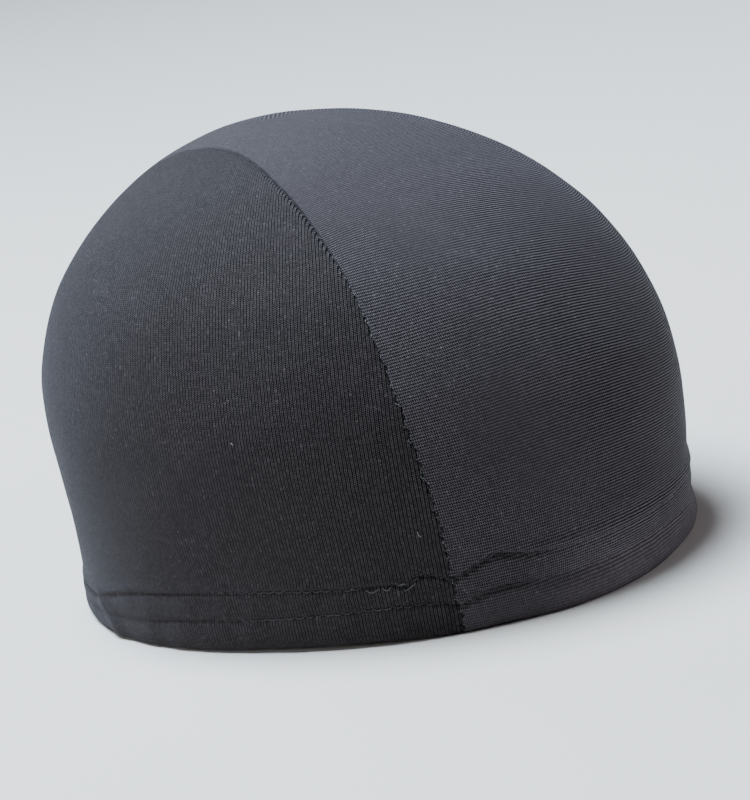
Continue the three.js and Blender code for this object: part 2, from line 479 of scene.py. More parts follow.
def seam_line(side):
    """Points of a seam from front rim to back rim, evenly apart. The side is -1 for the wearer's right."""
    angle = np.linspace(0, 180, 3001)
    points = over_head(side * centre_half(angle), angle)
    run = run_along(points)
    return spaced(points, run, np.arange(0, run[-1], SEAM_STEP))


SEAMS = {side: seam_line(side) for side in (-1, 1)}


def tree_of(points):
    """A tree that finds the nearest of these points."""
    tree = KDTree(len(points))
    for i, point in enumerate(points):
        tree.insert(point, i)
    tree.balance()
    return tree


SEAM_TREES = {side: tree_of(points) for side, points in SEAMS.items()}


def from_seam(points, side):
    """Distance of each point to a seam, and the run along the seam up to its nearest point."""
    find = SEAM_TREES[side].find
    found = [find(point)[1:] for point in points.reshape(-1, 3).tolist()]
    found = np.array([(distance, index * SEAM_STEP) for index, distance in found])
    return found[:, 0].reshape(points.shape[:-1]), found[:, 1].reshape(points.shape[:-1])


# Length round the head at the brow's height, from the middle of the forehead to each bearing
ROUND_BEARINGS = np.radians(np.linspace(-200, 200, 1601))
ROUND_RUN = run_along(ring_round(ROUND_BEARINGS, BROW_HEIGHT))
ROUND_RUN = ROUND_RUN - np.interp(0, ROUND_BEARINGS, ROUND_RUN)


def run_round(bearing):
    """Length round the head up to a bearing, negative on the wearer's right."""
    return np.interp(bearing, ROUND_BEARINGS, ROUND_RUN)


NAPE_RUN = run_round(-math.pi)      # where the hem's lines of stitches start
STITCHES_ROUND = int((run_round(math.pi) - NAPE_RUN) / STITCH_PITCH)


def thread_pull(points, offset):
    """How tightly a line of stitches pulls the cloth in, most at its needle holes."""
    phase = (run_round(bearing_of(points)) + offset) / STITCH_PITCH
    return 0.72 + 0.28 * np.cos(2 * math.pi * phase) ** 3


def fold_draw(height):
    """How far the hem's folded edge has rounded in at a height, in layers."""
    return 1 - np.sqrt(1 - np.clip(1 - height, 0, 1) ** 2)


# Relief of the hem
DOUBLED = 0.35              # the doubled cloth stands out this far, and fades out above the upper line
LOWER_SWELL = 0.3           # between the rim and the lower line
UPPER_SWELL = 0.22          # between the two lines
RIDGE = 0.12                # above the upper line
RIDGE_WIDTH = 0.9
RIDGE_GAP = 1.6
FRONT_RIDGE = 0.38          # added to it over the middle of the forehead
FRONT_DIP = 1.3             # the soft fold there, round the lower line
FRONT_DIP_WIDTH = 3.2
FRONT = (24, 33)            # bearings between which the front ends
NAPE = (103, 122)           # bearings between which the nape starts
CENTRE_GROOVE = 0.45        # depth of the lines of stitches, in the centre panel and in the side ones
SIDE_GROOVE = 0.8
GROOVE_WIDTH = 0.6
PULLED_GROOVE = 1.6         # added to their depth and width where the hem is drawn in beside a seam
PULLED_WIDTH = 0.3
CENTRE_PULL = (37, 9)       # bearing of that place and its width, in each panel
SIDE_PULL = (48, 5)
SIDE_PULL_SHARE = 0.25
HEM_PUCKER = 0.12           # fine puckers, and their wavelength
HEM_PUCKER_WAVE = 9


def hem_relief(points, is_centre):
    """How far the hem stands out, with its two sunk lines of stitches and the folded rim."""
    z = points[..., 2]
    bearing = np.degrees(bearing_of(points))
    away = np.abs(bearing)
    upper, lower = np.moveaxis(smooth_table(HEM_LINES, bearing), -1, 0)
    in_front = 1 - ease_between(*FRONT, away)
    at_nape = ease_between(*NAPE, away)
    if is_centre:
        groove = CENTRE_GROOVE
        pull = hump(away - CENTRE_PULL[0], CENTRE_PULL[1])
    else:
        groove = SIDE_GROOVE
        pull = SIDE_PULL_SHARE * hump(away - SIDE_PULL[0], SIDE_PULL[1])
    groove = groove + PULLED_GROOVE * pull
    width = GROOVE_WIDTH + PULLED_WIDTH * pull

    # The lower line is fainter than the upper one, above all at the nape and in front
    upper_depth = 1 - 0.3 * at_nape
    lower_depth = 0.85 - 0.6 * at_nape - 0.35 * in_front

    # The fold in front is deep on the wearer's right and shallow on the left
    dip = FRONT_DIP * in_front * (1 - 0.8 * ease_between(-4, 8, bearing))

    relief = DOUBLED * (1 - ease_between(upper + 0.5, upper + 4.5, z))
    relief += LOWER_SWELL * bulge(z / lower)
    relief += UPPER_SWELL * bulge((z - lower) / (upper - lower))
    ridge_width = RIDGE_WIDTH * (1 + in_front)
    relief += (RIDGE + FRONT_RIDGE * in_front) * hump(z - upper - RIDGE_GAP, ridge_width)
    relief -= dip * hump(z - lower, FRONT_DIP_WIDTH)
    relief -= groove * upper_depth * thread_pull(points, UPPER_SHIFT) * hump(z - upper, width)
    relief -= groove * lower_depth * thread_pull(points, LOWER_SHIFT) * hump(z - lower, width)
    puckers = ripples(points * (1, 1, 0.35), HEM_PUCKER_WAVE, 5)
    relief += HEM_PUCKER * puckers * (1 - ease_between(upper, upper + 5, z))
    return relief * ease_between(0, 2.5, z) - LAYER * fold_draw(z)


# The short fold at the nape corner of the hem, on both sides
CREASE = 0.9                # how far it stands out
CREASE_BEARING = 128.6      # its middle, at the height below
CREASE_HEIGHT = 8
CREASE_LEAN = 0.55          # degrees that it leans for each millimetre up
CREASE_REACH = 4.615        # degrees to each side of its middle


def nape_crease(points):
    """How far the short fold stands out."""
    z = points[..., 2]
    middle = CREASE_BEARING + CREASE_LEAN * (z - CREASE_HEIGHT)
    away = np.abs(np.abs(np.degrees(bearing_of(points))) - middle)
    fade = ease_between(0, 2, z) * (1 - ease_between(11, 14, z))
    return CREASE * np.clip(1 - away / CREASE_REACH, 0, 1) * fade


# Relief along the seams
VALLEY = 0.6
VALLEY_WIDTH = 0.26
PUCKER_PITCH = 3.1
CENTRE_EDGE = (0.1, 0.04, 0.6, 0.45)        # height, its change at the puckers, distance and width
SIDE_EDGE = (-0.06, -0.05, 1.2, 1.0)
BEHIND_CROWN = (86, 96)     # angles over the head between which the seams become fainter
FAINTER = 0.6


def seam_relief(points, distance, run, is_centre):
    """The valley along a seam and the edge beside it, both fainter behind the crown."""
    pucker = np.sin(2 * math.pi * run / PUCKER_PITCH + 1.6 * np.sin(run / 6.1))
    relief = -VALLEY * hump(distance, VALLEY_WIDTH)
    height, change, place, width = CENTRE_EDGE if is_centre else SIDE_EDGE
    relief += (height + change * pucker) * hump(distance - place, width)
    return relief * (1 - FAINTER * ease_between(*BEHIND_CROWN, angle_over(points)))


# Unevenness of the stretched cloth. Columns: height, wavelength, seed, height on the cap where it is full
CLOTH_WAVES = (
    (0.16, 46, 11, 18),
    (0.05, 17, 12, 12),
)


def outer_relief(points, is_centre):
    """How far the knit stands out from the head form, and where a seam's allowance thickens it inside."""
    relief = hem_relief(points, is_centre) + nape_crease(points)
    for height, wavelength, seed, full in CLOTH_WAVES:
        relief += height * ripples(points, wavelength, seed) * ease_between(0, full, points[..., 2])
    allowance = np.zeros(points.shape[:-1])
    for side in (-1, 1):
        distance, run = from_seam(points, side)
        relief += seam_relief(points, distance, run, is_centre)
        allowance = np.maximum(allowance, hump(distance, ALLOWANCE_WIDTH))
    return relief, allowance


def thickness(points, allowance):
    """Thickness of the knit: doubled in the hem, rounded at its fold and thicker along a seam."""
    z = points[..., 2]
    layers = np.where(z < HEM_TOP + 0.2, 2 * LAYER, LAYER) - 2 * LAYER * fold_draw(z)
    return layers + ALLOWANCE * allowance * ease_between(0, 1, z)


def rim_shift(points):
    """How the hem's edge strays from the head form: it lifts off the ground beside the face, and flares."""
    bearing = bearing_of(points)
    z = points[..., 2]
    lift, flare = np.moveaxis(smooth_table(RIM, np.degrees(bearing)), -1, 0)
    lift = lift * (1 - ease_between(0, LIFT_REACH, z))
    flare = flare * np.clip(1 - z / FLARE_REACH, 0, 1)
    return np.stack([np.sin(bearing) * flare, -np.cos(bearing) * flare, lift], -1)


def closed_sheet(outer, inner):
    """Points and faces of a sheet. The inner grid has half as many steps each way as the outer one."""
    rows, columns = outer.shape[:2]
    half_rows, half_columns = inner.shape[:2]
    count = rows * columns
    out = np.arange(count).reshape(rows, columns)
    into = count + np.arange(half_rows * half_columns).reshape(half_rows, half_columns)
    quads = [
        np.stack([out[:-1, :-1], out[1:, :-1], out[1:, 1:], out[:-1, 1:]], -1).reshape(-1, 4),
        np.stack([into[:-1, :-1], into[:-1, 1:], into[1:, 1:], into[1:, :-1]], -1).reshape(-1, 4),
    ]
    triangles = []
    edges = (
        (out[0], into[0]),
        (out[:, -1], into[:, -1]),
        (out[-1, ::-1], into[-1, ::-1]),
        (out[::-1, 0], into[::-1, 0]),
    )
    for far, near in edges:
        triangles.append(np.stack([far[:-2:2], far[1::2], near[:-1]], -1))
        triangles.append(np.stack([far[1::2], near[1:], near[:-1]], -1))
        triangles.append(np.stack([far[1::2], far[2::2], near[1:]], -1))
    faces = [list(map(int, face)) for group in (*quads, *triangles) for face in group]
    return np.concatenate([outer.reshape(-1, 3), inner.reshape(-1, 3)]), faces


def add_mesh(name, points, faces, grain, gather):
    """A smooth mesh in metres from points in millimetres, with the knit's grain and its gathers."""
    mesh = bpy.data.meshes.new(name)
    mesh.from_pydata((points * MM).tolist(), [], faces)
    mesh.polygons.foreach_set("use_smooth", np.ones(len(mesh.polygons), bool))
    corners = np.empty(len(mesh.loops), np.int32)
    mesh.loops.foreach_get("vertex_index", corners)
    layer = mesh.uv_layers.new(name="grain")
    layer.data.foreach_set("uv", (grain * MM)[corners].astype(np.float32).ravel())
    mesh.attributes.new("gather", "FLOAT", "POINT").data.foreach_set("value", gather.astype(np.float32))
    piece = bpy.data.objects.new(name, mesh)
    bpy.context.scene.collection.objects.link(piece)
    return piece


def sheet_piece(name, face, grain, gather, is_centre):
    """A knit panel as a closed sheet, from its grid on the head form.

    In the hem's fold the inner side lies level with the outer one, so the wall is measured level there.
    """
    normal = face_normal(face)
    relief, allowance = outer_relief(face, is_centre)
    shift = rim_shift(face)
    outer = face + normal * relief[..., None] + shift
    inner_relief = np.minimum(relief, INNER_RELIEF) * (1 - allowance)
    depth = thickness(face, allowance)
    flat = normal * (1, 1, 0)
    flat /= np.linalg.norm(flat, axis=-1, keepdims=True)
    is_fold = face[..., 2] < 1
    direction = np.where(is_fold[..., None], flat, normal)
    sunk = np.where(is_fold, relief, inner_relief) - depth
    inner = face + direction * sunk[..., None] + shift
    across = outer[1, 0] - outer[0, 0]
    along = outer[0, 1] - outer[0, 0]
    if np.dot(np.cross(across, along), normal[0, 0]) < 0:
        outer, inner, grain, gather = (grid[:, ::-1] for grid in (outer, inner, grain, gather))
    points, faces = closed_sheet(outer, inner[::2, ::2])
    grain = np.concatenate([grain.reshape(-1, 2), grain[::2, ::2].reshape(-1, 2)])
    gather = np.concatenate([gather.ravel(), 0 * gather[::2, ::2].ravel()])
    return add_mesh(name, points, faces, grain, gather)


def climb_table(column):
    """Length of a profile up from the rim, at each entry of the level table."""
    run = run_along(PROFILE[:, [0, column]])
    return run - np.interp(0, PROFILE[:, 0], run)


FRONT_CLIMB = climb_table(1)
SIDE_CLIMB = climb_table(3)

# Course of the side panels' ribs
RIBS_DRAWN = 0.6            # how much closer they come where the head narrows
RIBS_SPREAD = 0.1           # how much they spread towards the rim, from the height below
SPREAD_HEIGHT = 100
RIBS_LEAN = 0.03            # how far they lean for each millimetre up
RIBS_BOW = 1000             # the larger, the straighter

# Gathers of the side panels along their seams
LEAST_GATHER = 0.15
GATHER_START = (63, 74)     # angles over the head between which they grow
GATHER_END = (84, 98)       # and fade
GATHER_REACH = 2.0
GATHER_FADE = (0.6, 1.6)    # distances from the seam between which they show less and less

# Course of the centre panel's ribs, level over the forehead and straight across the head behind the crown
ROWS_LAG = 6                # how far those behind lag
ROWS_CLOSER = 1.02          # how much closer the level ones lie than the head form's own length tells
ROWS_TILT = 0.075           # how much they climb to one side
ROWS_TILT_HALF = 38         # half the width of that climb
ROWS_TURN = (62, 110)       # angles over the head between which the level ones give way to the others
NARROWEST = 0.66            # loops keep their number across down to this share of the front rim's width


def upright_grain(points):
    """Grain of the right side panel before its seam gathers it: round the head, then up."""
    height = points[..., 2]
    level = level_of(height)
    reach = np.interp(level, LEVELS, PROFILE[:, 3]) + np.interp(level, LEVELS, PROFILE[:, 1])
    size = reach / (WIDEST_SECTION[3] + WIDEST_SECTION[1])
    spread = 1 + RIBS_SPREAD * np.clip(1 - height / SPREAD_HEIGHT, 0, 1)
    across = run_round(bearing_of(points)) - run_round(math.radians(-90))
    across = across * (1 - RIBS_DRAWN + RIBS_DRAWN * size) * spread + RIBS_LEAN * (height - BROW_HEIGHT)
    across = across - across ** 2 / RIBS_BOW
    along = np.interp(level, LEVELS, (SIDE_CLIMB + FRONT_CLIMB) / 2)
    return np.stack([across, along], -1)


def gather_strength(points):
    """How tightly a side panel is gathered along its seam: most over the temple's top, less elsewhere."""
    angle = angle_over(points)
    full = ease_between(*GATHER_START, angle) * (1 - ease_between(*GATHER_END, angle))
    return LEAST_GATHER + (1 - LEAST_GATHER) * full


def side_grain(face):
    """Ribs of the right side panel stand upright, and turn square to the seam where it gathers them."""
    distance, run = from_seam(face, -1)
    seam = SEAMS[-1]
    nearest = seam[np.clip((run / SEAM_STEP).astype(int), 1, len(seam) - 2)]
    away = (face - nearest) / np.maximum(distance, 0.05)[..., None]
    strength = gather_strength(face)
    reach = GATHER_REACH * strength
    drawn = np.where(distance < reach, (reach - distance) ** 2 / (2 * reach), 0)
    gather = strength * (1 - ease_between(*GATHER_FADE, distance))
    return upright_grain(face + away * drawn[..., None]), gather


def centre_grain(face):
    """Ribs of the centre panel lie level: the first coordinate goes over the head, the second across."""
    angle = angle_over(face)
    middle = face[:, face.shape[1] // 2]
    over = np.interp(angle, angle_over(middle), run_along(middle)) - ROWS_LAG
    tilt = np.cos(math.pi * (face[..., 0] + ROWS_TILT_HALF) / (2 * ROWS_TILT_HALF))
    climb = np.interp(level_of(face[..., 2]), LEVELS, FRONT_CLIMB) * (ROWS_CLOSER - ROWS_TILT * tilt)
    top = np.argmax(middle[:, 2])
    climb[top:] = climb[top]
    across = over + (1 - ease_between(*ROWS_TURN, angle)) * (climb - over)
    steps = np.linalg.norm(np.diff(face, axis=1), axis=-1)
    row_run = np.concatenate([np.zeros((len(face), 1)), np.cumsum(steps, axis=1)], axis=1)
    row_run -= row_run[:, [face.shape[1] // 2]]
    slant = steps[:, [-1]] / np.abs(face[:, [-1], 0] - face[:, [-2], 0])
    half = np.abs(row_run[:, [-1]]) - seam_wobble(angle[:, [-1]]) * slant
    along = row_run * (half[0] / np.maximum(half, NARROWEST * half[0]))
    return np.stack([across, along], -1)


right_face = side_face()
left_face = right_face * (-1, 1, 1)
middle_face = centre_face()
upright, gathers = side_grain(right_face)
ungathered = np.zeros(middle_face.shape[:2])

centre_knit = sheet_piece("centre_knit", middle_face, centre_grain(middle_face), ungathered, True)
right_knit = sheet_piece("right_side_knit", right_face, upright, gathers, False)
left_knit = sheet_piece("left_side_knit", left_face, upright, gathers, False)


# Materials
class Wire:
    """A shader value that Python arithmetic works on."""

    def __init__(self, board, socket):
        self.board = board
        self.socket = socket

    def __add__(self, other):
        return self.board.math("ADD", self, other)

    __radd__ = __add__

    def __mul__(self, other):
        return self.board.math("MULTIPLY", self, other)

    __rmul__ = __mul__

    def __sub__(self, other):
        return self.board.math("SUBTRACT", self, other)

    def __rsub__(self, other):
        return self.board.math("SUBTRACT", other, self)

    def __truediv__(self, other):
        return self.board.math("DIVIDE", self, other)

    def __rtruediv__(self, other):
        return self.board.math("DIVIDE", other, self)


class Board:
    """A node tree, for a material or for the stitches."""

    def __init__(self, tree):
        self.tree = tree
        tree.nodes.clear()

    def add(self, kind, settings=None, values=None, output=0):
        """One of a new node's outputs. Its settings come first, then the values or links of its sockets."""
        node = self.tree.nodes.new(kind)
        for key, setting in (settings or {}).items():
            setattr(node, key, setting)
        for key, value in (values or {}).items():
            if isinstance(value, Wire):
                self.tree.links.new(value.socket, node.inputs[key])
            else:
                node.inputs[key].default_value = value
        return Wire(self, node.outputs[output])

    def math(self, operation, *values):
        return self.add("ShaderNodeMath", {"operation": operation}, dict(enumerate(values)))

    def clamped(self, value):
        return self.add("ShaderNodeClamp", None, {"Value": value})

    def mix(self, factor, first, second):
        """A colour between two."""
        return self.add("ShaderNodeMix", {"data_type": "RGBA"}, {0: factor, 6: first, 7: second}, 2)

    def scaled(self, colour, factor):
        """A colour made lighter or darker by a factor."""
        settings = {"operation": "SCALE"}
        return self.add("ShaderNodeVectorMath", settings, {0: colour, "Scale": factor})

    def noise(self, where, scale, detail=2.0, roughness=0.5):
        values = {"Vector": where, "Scale": scale, "Detail": detail, "Roughness": roughness}
        return self.add("ShaderNodeTexNoise", None, values)

    def close(self, kind, value):
        """Ends the tree in its output node."""
        self.tree.links.new(value.socket, self.tree.nodes.new(kind).inputs[0])


def new_material(name):
    material = bpy.data.materials.new(name)
    material.use_nodes = True
    return material, Board(material.node_tree)


# Sizes are in millimetres, and strengths are shares of the yarn's full show
UPRIGHT_KNIT = {
    "rib": 0.97,            # pitch of the ribs, and of the loops along each
    "loop": 0.6,
    "ribs": 0.9,            # how strongly the ribs show, and the two legs of each
    "legs": 1.1,
    "loops": 0.5,           # how strongly the rows of loops show
    "rungs": 0.8,           # and the slanting rungs between loops of neighbouring ribs
    "stagger": 1,           # which way these slant
    "rise": 0.3,            # how proud the yarn stands
    "crispness": 1.8,       # how sharp its edges are
    "cover": 0.25,          # how much of the cloth it covers
    "drift": 0.6,           # how far the ribs stray
    "opening": 0.0,         # how much the ribs open over the forehead, where it is stretched most
    # the same share also turns on a painted highlight that lightens the yarn of the hem in front
    "pressed": 0.0,         # how flat they are pressed at the hem's fold
}
LEVEL_KNIT = {
    "rib": 0.8,
    "loop": 0.575,
    "ribs": 1.35,
    "legs": 0.0,
    "loops": 1.38,
    "rungs": 1.38,
    "stagger": -1,
    "rise": 0.55,
    "crispness": 2.3,
    "cover": 0.13,
    "drift": 0.4,
    "opening": 1.0,
    "pressed": 1.0,
}

# Where the centre panel's knit changes, up from the rim and across from the middle: fully up to the first
# value, and not at all from the second one on
PRESSED_UP = (3.2, 11.2)
# The next two bound a painted highlight that lightens the yarn of the hem in front
PAINTED_SHEEN_UP = (9.8, 23.8)
PAINTED_SHEEN_ACROSS = (24, 54)
OPEN_UP = (113, 138)
OPEN_ACROSS = (11.55, 46.55)

# Scales of the knit's unevenness, in waves a metre
LOOP_SCALE = 420.0
RIB_SCALE = 90.0
FIBRE_SCALE = 3300.0
SHADE_SCALE = 55.0
DULL_SHARE = 0.985          # share of the loops that don't glint

# What stretching the cloth open, pressing it flat and a painted highlight on the hem in front do to the
# yarn's show
OPEN_RIBS = 1.2             # added to the ribs
OPEN_LOOPS = 0.45           # share taken off the loops
OPEN_CRISPNESS = 2
OPEN_COVER = 0.1            # taken off the cover
OPEN_TONE = 0.12            # how much lighter each makes the yarn
PRESSED_TONE = 0.1
PAINTED_SHEEN_TONE = 1.1
PRESSED_EVEN = 0.5          # how far pressing evens out the yarn and its rise
PRESSED_YARN = 0.8          # the show that it evens it out to

# Painted shade in the gaps between gathered ribs, painted light on the ribs beside them, and how far the
# gaps sink
GAP_PAINTED_SHADE = 2.2
GAP_SINK = 0.8
GATHERED_PAINTED_LIGHT = 0.35

# The knit's bump
BUMP_STRENGTH = 0.6
BUMP_HEIGHT = 0.00035       # in metres


def faded(value, limits):
    """1 up to the first limit, falling to 0 at the second."""
    first, last = limits
    return value.board.clamped((last * MM - value) / ((last - first) * MM))


def wave(turns):
    """A wave between 0 and 1, which starts at 0 and is one turn long."""
    return 0.5 - turns.board.math("COSINE", turns * (2 * math.pi)) * 0.5


def knit_material(name, yarn, pit_shade, knit):
    """Fine stretch knit. Ribs lie side by side across the first grain coordinate, loops follow each."""
    material, board = new_material(name)
    grain = board.add("ShaderNodeUVMap", {"uv_map": "grain"})
    gather = board.add("ShaderNodeAttribute", {"attribute_name": "gather"}, None, 2)
    axes = board.add("ShaderNodeSeparateXYZ", None, {0: grain})
    first = Wire(board, axes.socket.node.outputs["X"])
    second = Wire(board, axes.socket.node.outputs["Y"])

    # Where the cloth is pressed flat, where it is stretched open, and where the hem in front gets a painted
    # highlight
    from_middle = board.math("ABSOLUTE", second)
    pressed = faded(first, PRESSED_UP) * knit["pressed"]
    opened = faded(from_middle, OPEN_ACROSS) * faded(first, OPEN_UP) * (1 - pressed) * knit["opening"]
    painted_sheen = faded(from_middle, PAINTED_SHEEN_ACROSS) * faded(first, PAINTED_SHEEN_UP) * knit["pressed"]

    # Ribs, their legs, rows of loops and slanting rungs
    wander = board.noise(grain, LOOP_SCALE, 1.0) - 0.5
    drift = board.noise(grain, RIB_SCALE, 1.0) - 0.5
    across = first / (knit["rib"] * MM) + wander * 0.25 + drift * knit["drift"]
    along = second / (knit["loop"] * MM) + wander * 0.4
    ridge = wave(across)
    rungs = wave(along + across * knit["stagger"])
    ribbed = (ridge - 0.5) * (opened * OPEN_RIBS + knit["ribs"])
    ribbed = ribbed + (wave(across * 2) - 0.5) * knit["legs"]
    looped = (wave(along) - 0.5) * knit["loops"] + (rungs - 0.5) * knit["rungs"]
    show = ribbed + looped * (1 - opened * OPEN_LOOPS)

    # Each loop's own shade, the yarn's fuzz and the gaps between gathered ribs
    cell_values = {0: board.math("FLOOR", across), 1: board.math("FLOOR", along)}
    cell = board.add("ShaderNodeCombineXYZ", None, cell_values)
    chance = board.add("ShaderNodeTexWhiteNoise", {"noise_dimensions": "3D"}, {"Vector": cell})
    fuzz = board.noise(grain, FIBRE_SCALE, 2.0) - 0.5
    gap = board.clamped((1 - ridge) * 2.4 - 0.9) * gather

    # Light yarn over pits, whose dark colour is painted shade in the hollows between the loops
    crispness = opened * OPEN_CRISPNESS + knit["crispness"]
    cover = knit["cover"] - opened * OPEN_COVER
    crisp = (show + (chance - 0.5) * 0.2 + fuzz * 0.5) * crispness + cover
    # The gaps between gathered ribs get painted shade, and the ribs beside them painted light
    lit = board.clamped(crisp - gap * GAP_PAINTED_SHADE + ridge * gather * GATHERED_PAINTED_LIGHT)
    lit = lit + (PRESSED_YARN - lit) * pressed * PRESSED_EVEN
    tone = board.noise(grain, SHADE_SCALE, 3.0) * 0.14 + 0.93
    # The hem in front is made lighter by a painted highlight, on top of the changes from opening and
    # pressing
    lighter = opened * OPEN_TONE + pressed * PRESSED_TONE + painted_sheen * PAINTED_SHEEN_TONE
    tone = tone * (chance * 0.2 + 0.9) * (lighter + 1)
    # Painted glints: the few loops outside the dull share get a painted highlight in their colour
    tone = tone + board.clamped((chance - DULL_SHARE) * 70) * 0.5
    colour = board.scaled(board.mix(lit, (*pit_shade, 1), (*yarn, 1)), tone)
    rise = show * knit["rise"] * (1 - pressed * PRESSED_EVEN) + chance * 0.2 - gap * GAP_SINK
    bump_values = {"Strength": BUMP_STRENGTH, "Distance": BUMP_HEIGHT, "Height": rise}
    cloth = board.add("ShaderNodeBsdfPrincipled", None, {
        "Base Color": colour,
        "Roughness": 0.75 - lit * 0.16,
        "Normal": board.add("ShaderNodeBump", None, bump_values),
        "Specular IOR Level": 0.06,
        "Sheen Weight": 0.04,
        "Sheen Roughness": 0.45,
        "Sheen Tint": (0.74, 0.8, 1.0, 1),
    })
    board.close("ShaderNodeOutputMaterial", cloth)
    return material


def thread_material(name, dark, pale):
    """Soft sewing thread."""
    material, board = new_material(name)
    where = board.add("ShaderNodeTexCoord", output=3)
    fuzz = board.noise(where, 2600.0, 3.0)
    colour = board.mix(board.clamped(fuzz * 2 - 0.5), (*dark, 1), (*pale, 1))
    bump = board.add("ShaderNodeBump", None, {"Strength": 0.5, "Distance": 0.0001, "Height": fuzz})
    yarn = board.add("ShaderNodeBsdfPrincipled", None, {
        "Base Color": colour,
        "Roughness": 0.6,
        "Normal": bump,
        "Specular IOR Level": 0.3,
        "Sheen Weight": 0.15,
    })
    board.close("ShaderNodeOutputMaterial", yarn)
    return material


# Colours of the yarn and of the painted shade in the pits between its loops, then of each thread's dark and
# pale fibres
SIDE_YARN = (0.0445, 0.0375, 0.0395)
SIDE_PIT_SHADE = (0.0006, 0.0005, 0.0006)
CENTRE_YARN = (0.0715, 0.0625, 0.069)
CENTRE_PIT_SHADE = (0.0009, 0.0008, 0.0009)
side_material = knit_material("upright ribbed knit", SIDE_YARN, SIDE_PIT_SHADE, UPRIGHT_KNIT)
centre_material = knit_material("level ribbed knit", CENTRE_YARN, CENTRE_PIT_SHADE, LEVEL_KNIT)
hem_thread = thread_material("hem thread", (0.007, 0.007, 0.008), (0.06, 0.06, 0.063))
seam_thread = thread_material("seam thread", (0.01, 0.011, 0.011), (0.07, 0.074, 0.074))
pale_thread = thread_material("pale seam thread", (0.05, 0.054, 0.052), (0.3, 0.32, 0.31))

centre_knit.data.materials.append(centre_material)
right_knit.data.materials.append(side_material)
left_knit.data.materials.append(side_material)


# Slack stitches of the hem. Columns: number of the loop, bearing round the head, height
LOOSE_LOOPS = np.array([
    (1, -58.2, 16.7),
    (1, -57.6, 16.2),
    (1, -57.1, 16.0),
    (1, -56.4, 16.3),
    (1, -55.7, 16.8),
    (2, -55.2, 16.9),
    (2, -54.6, 16.3),
    (2, -54.1, 16.2),
    (2, -53.5, 16.7),
    (2, -53.0, 17.3),
    (3, -52.1, 16.9),
    (3, -51.5, 17.3),
    (3, -51.0, 17.4),
    (3, -50.5, 17.1),
    (3, -50.0, 16.7),
    (4, -51.6, 16.6),
    (4, -51.4, 15.8),
    (4, -51.0, 15.4),
    (4, -50.4, 15.7),
    (4, -49.8, 16.2),
    (4, -49.1, 17.0),
    (5, -50.0, 16.7),
    (5, -49.6, 17.4),
    (5, -49.2, 17.8),
    (5, -48.7, 18.1),
    (5, -48.3, 17.8),
])

# Lint. Columns: bearings and heights along each speck, and how proud it lies
LINT = (
    ((-60.95, -60.7, -60.9, -60.65), (17.2, 17.35, 17.45, 17.55), 0.5),
    ((-47.0, -47.0, -46.9, -46.6), (31.6, 30.9, 30.3, 29.9), 0.1),
    ((-79.4, -79.2, -79.0), (61.8, 61.6, 61.2), 0.1),
)

# Inputs of the two trees, in metres and radians. Columns: name, kind, usual value
THREAD_INPUTS = (
    ("Thickness", "Float", 0.00015),
)
STITCH_INPUTS = (
    ("Length", "Float", 0.0022),
    ("Thickness", "Float", 0.00016),
    ("Rise", "Float", 0.0002),
    ("Sink", "Float", 0.0003),
    ("Sag", "Float", 0.0),
    ("Slant", "Float", 0.0),
    ("Unevenness", "Float", 0.15),
    ("Seed", "Int", 0),
)


def line_tree(name, inputs):
    """A tree that works on a line, the board that it is made on and the values of its inputs."""
    tree = bpy.data.node_groups.new(name, "GeometryNodeTree")
    board = Board(tree)
    tree.interface.new_socket("Geometry", in_out="OUTPUT", socket_type="NodeSocketGeometry")
    tree.interface.new_socket("Line", in_out="INPUT", socket_type="NodeSocketGeometry")
    for size, kind, usual in inputs:
        socket = tree.interface.new_socket(size, in_out="INPUT", socket_type="NodeSocket" + kind)
        socket.default_value = usual
    tree.interface.new_socket("Thread", in_out="INPUT", socket_type="NodeSocketMaterial")
    given = tree.nodes.new("NodeGroupInput")
    read = {socket.name: Wire(board, socket) for socket in given.outputs if socket.name}
    return tree, board, read


def swept(board, curve, sides, radius):
    """A smooth thread along a curve."""
    ring = board.add("GeometryNodeCurvePrimitiveCircle", None, {"Resolution": sides, "Radius": radius})
    values = {"Curve": curve, "Profile Curve": ring, "Fill Caps": True}
    thread = board.add("GeometryNodeCurveToMesh", None, values)
    return board.add("GeometryNodeSetShadeSmooth", None, {0: thread})


def finish_tree(board, geometry, thread):
    """Ends a tree with plain geometry in the thread's material."""
    geometry = board.add("GeometryNodeRealizeInstances", None, {0: geometry})
    geometry = board.add("GeometryNodeSetMaterial", None, {"Geometry": geometry, "Material": thread})
    board.close("NodeGroupOutput", geometry)


